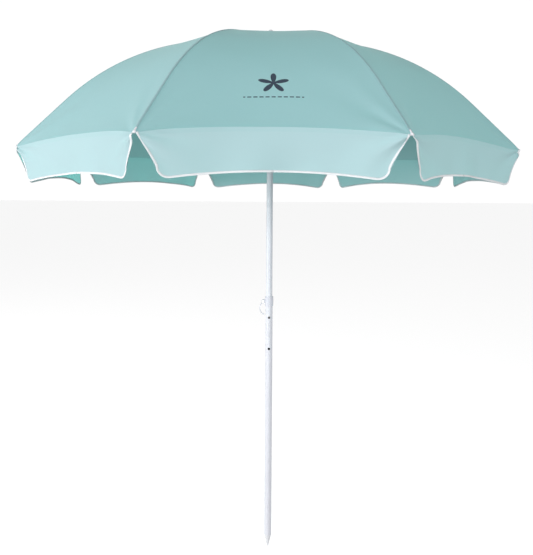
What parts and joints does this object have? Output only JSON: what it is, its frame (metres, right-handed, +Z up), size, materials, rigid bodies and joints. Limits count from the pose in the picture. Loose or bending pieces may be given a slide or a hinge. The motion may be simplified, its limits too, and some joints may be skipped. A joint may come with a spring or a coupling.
{
  "type": "beach umbrella",
  "caption": "Beach umbrella with a two-piece pole, clamp collar, ground spike, folding ribs on a hub and runner, and a teal canopy with a scalloped white-edged valance.",
  "frame": {"origin": "point of the ground spike, at the middle of the bounding box's base", "axes": "+Z up along the pole, -Y towards the front gore, +X to the right seen from the front"},
  "size_m": [1.7118, 1.7118, 2.058],
  "materials": {
    "canopy_cloth": "woven polyester, teal, slightly translucent",
    "pole_paint": "white powder coat",
    "rib_steel": "white coated wire",
    "bracket_steel": "pressed zinc-plated steel",
    "bright_steel": "plain steel",
    "white_plastic": "moulded white plastic",
    "clamp_plastic": "moulded pale grey plastic",
    "dark_plastic": "moulded black plastic"
  },
  "bodies": {
    "lower_pole": {"ground_spike": "white_plastic", "lower_pole": "pole_paint", "clamp_collar": "clamp_plastic", "clamp_pin": "bright_steel"},
    "clamp_lever": {"clamp_lever": "clamp_plastic"},
    "upper_pole": {"upper_pole": "pole_paint", "hub": "white_plastic", "hub_ring": "bright_steel", "top_cap": "white_plastic", "finial": "white_plastic", "finial_stud": "bright_steel", "button_spring": "bright_steel"},
    "height_button": {"height_button": "dark_plastic"},
    "runner": {"runner": "white_plastic"},
    "rib_1": {"rib_1": "rib_steel", "rib_bracket_1": "bracket_steel", "rib_tip_1": "white_plastic", "canopy_1": "canopy_cloth"},
    "stretcher_1": {"stretcher_1": "rib_steel"},
    "rib_2": {"rib_2": "rib_steel", "rib_bracket_2": "bracket_steel", "rib_tip_2": "white_plastic", "canopy_2": "canopy_cloth"},
    "stretcher_2": {"stretcher_2": "rib_steel"},
    "rib_3": {"rib_3": "rib_steel", "rib_bracket_3": "bracket_steel", "rib_tip_3": "white_plastic", "canopy_3": "canopy_cloth"},
    "stretcher_3": {"stretcher_3": "rib_steel"},
    "rib_4": {"rib_4": "rib_steel", "rib_bracket_4": "bracket_steel", "rib_tip_4": "white_plastic", "canopy_4": "canopy_cloth"},
    "stretcher_4": {"stretcher_4": "rib_steel"},
    "rib_5": {"rib_5": "rib_steel", "rib_bracket_5": "bracket_steel", "rib_tip_5": "white_plastic", "canopy_5": "canopy_cloth"},
    "stretcher_5": {"stretcher_5": "rib_steel"},
    "rib_6": {"rib_6": "rib_steel", "rib_bracket_6": "bracket_steel", "rib_tip_6": "white_plastic", "canopy_6": "canopy_cloth"},
    "stretcher_6": {"stretcher_6": "rib_steel"},
    "rib_7": {"rib_7": "rib_steel", "rib_bracket_7": "bracket_steel", "rib_tip_7": "white_plastic", "canopy_7": "canopy_cloth"},
    "stretcher_7": {"stretcher_7": "rib_steel"},
    "rib_8": {"rib_8": "rib_steel", "rib_bracket_8": "bracket_steel", "rib_tip_8": "white_plastic", "canopy_8": "canopy_cloth"},
    "stretcher_8": {"stretcher_8": "rib_steel"}
  },
  "joints": [
    {"name": "clamp_lever_swing", "type": "hinge", "parent": "lower_pole", "child": "clamp_lever", "pos_m": [-0.0235, 0, 0.975], "axis": [0, 1, 0], "range_deg": [0, 100]},
    {"name": "pole_slide", "type": "slide", "parent": "lower_pole", "child": "upper_pole", "axis": [0, 0, 1], "range_m": [-0.124, 0.06]},
    {"name": "height_button_press", "type": "slide", "parent": "upper_pole", "child": "height_button", "axis": [0, 1, 0], "range_m": [0, 0.0025], "stiffness_N_per_m": 600, "deforming": ["button_spring"]},
    {"name": "canopy_fold", "type": "hinge", "parent": "upper_pole", "child": "rib_1", "pos_m": [0.01148, -0.02772, 2.016], "axis": [0.9239, 0.3827, 0], "range_deg": [0, 57], "deforming": ["canopy_1"]},
    {"name": "stretcher_1_swing", "type": "hinge", "parent": "rib_1", "child": "stretcher_1", "pos_m": [0.16529, -0.39905, 1.92924], "axis": [0.9239, 0.3827, 0], "range_deg": [-97.67, 0]},
    {"name": "rib_2_fold", "type": "hinge", "parent": "upper_pole", "child": "rib_2", "pos_m": [0.02772, -0.01148, 2.016], "axis": [0.3827, 0.9239, 0], "range_deg": [0, 57], "deforming": ["canopy_2"]},
    {"name": "stretcher_2_swing", "type": "hinge", "parent": "rib_2", "child": "stretcher_2", "pos_m": [0.39905, -0.16529, 1.92924], "axis": [0.3827, 0.9239, 0], "range_deg": [-97.67, 0]},
    {"name": "rib_3_fold", "type": "hinge", "parent": "upper_pole", "child": "rib_3", "pos_m": [0.02772, 0.01148, 2.016], "axis": [-0.3827, 0.9239, 0], "range_deg": [0, 57], "deforming": ["canopy_3"]},
    {"name": "stretcher_3_swing", "type": "hinge", "parent": "rib_3", "child": "stretcher_3", "pos_m": [0.39905, 0.16529, 1.92924], "axis": [-0.3827, 0.9239, 0], "range_deg": [-97.67, 0]},
    {"name": "rib_4_fold", "type": "hinge", "parent": "upper_pole", "child": "rib_4", "pos_m": [0.01148, 0.02772, 2.016], "axis": [-0.9239, 0.3827, 0], "range_deg": [0, 57], "deforming": ["canopy_4"]},
    {"name": "stretcher_4_swing", "type": "hinge", "parent": "rib_4", "child": "stretcher_4", "pos_m": [0.16529, 0.39905, 1.92924], "axis": [-0.9239, 0.3827, 0], "range_deg": [-97.67, 0]},
    {"name": "rib_5_fold", "type": "hinge", "parent": "upper_pole", "child": "rib_5", "pos_m": [-0.01148, 0.02772, 2.016], "axis": [-0.9239, -0.3827, 0], "range_deg": [0, 57], "deforming": ["canopy_5"]},
    {"name": "stretcher_5_swing", "type": "hinge", "parent": "rib_5", "child": "stretcher_5", "pos_m": [-0.16529, 0.39905, 1.92924], "axis": [-0.9239, -0.3827, 0], "range_deg": [-97.67, 0]},
    {"name": "rib_6_fold", "type": "hinge", "parent": "upper_pole", "child": "rib_6", "pos_m": [-0.02772, 0.01148, 2.016], "axis": [-0.3827, -0.9239, 0], "range_deg": [0, 57], "deforming": ["canopy_6"]},
    {"name": "stretcher_6_swing", "type": "hinge", "parent": "rib_6", "child": "stretcher_6", "pos_m": [-0.39905, 0.16529, 1.92924], "axis": [-0.3827, -0.9239, 0], "range_deg": [-97.67, 0]},
    {"name": "rib_7_fold", "type": "hinge", "parent": "upper_pole", "child": "rib_7", "pos_m": [-0.02772, -0.01148, 2.016], "axis": [0.3827, -0.9239, 0], "range_deg": [0, 57], "deforming": ["canopy_7"]},
    {"name": "stretcher_7_swing", "type": "hinge", "parent": "rib_7", "child": "stretcher_7", "pos_m": [-0.39905, -0.16529, 1.92924], "axis": [0.3827, -0.9239, 0], "range_deg": [-97.67, 0]},
    {"name": "rib_8_fold", "type": "hinge", "parent": "upper_pole", "child": "rib_8", "pos_m": [-0.01148, -0.02772, 2.016], "axis": [0.9239, -0.3827, 0], "range_deg": [0, 57], "deforming": ["canopy_8"]},
    {"name": "stretcher_8_swing", "type": "hinge", "parent": "rib_8", "child": "stretcher_8", "pos_m": [-0.16529, -0.39905, 1.92924], "axis": [0.9239, -0.3827, 0], "range_deg": [-97.67, 0]},
    {"name": "runner_slide", "type": "slide", "parent": "upper_pole", "child": "runner", "axis": [0, 0, 1], "range_m": [-0.50075, 0]}
  ],
  "couplings": [
    {"joint": "stretcher_1_swing", "follows": "canopy_fold", "ratio": -1.7134},
    {"joint": "rib_2_fold", "follows": "canopy_fold", "ratio": 1},
    {"joint": "stretcher_2_swing", "follows": "canopy_fold", "ratio": -1.7134},
    {"joint": "rib_3_fold", "follows": "canopy_fold", "ratio": 1},
    {"joint": "stretcher_3_swing", "follows": "canopy_fold", "ratio": -1.7134},
    {"joint": "rib_4_fold", "follows": "canopy_fold", "ratio": 1},
    {"joint": "stretcher_4_swing", "follows": "canopy_fold", "ratio": -1.7134},
    {"joint": "rib_5_fold", "follows": "canopy_fold", "ratio": 1},
    {"joint": "stretcher_5_swing", "follows": "canopy_fold", "ratio": -1.7134},
    {"joint": "rib_6_fold", "follows": "canopy_fold", "ratio": 1},
    {"joint": "stretcher_6_swing", "follows": "canopy_fold", "ratio": -1.7134},
    {"joint": "rib_7_fold", "follows": "canopy_fold", "ratio": 1},
    {"joint": "stretcher_7_swing", "follows": "canopy_fold", "ratio": -1.7134},
    {"joint": "rib_8_fold", "follows": "canopy_fold", "ratio": 1},
    {"joint": "stretcher_8_swing", "follows": "canopy_fold", "ratio": -1.7134},
    {"joint": "runner_slide", "follows": "canopy_fold", "m_per_rad": -0.50325}
  ]
}
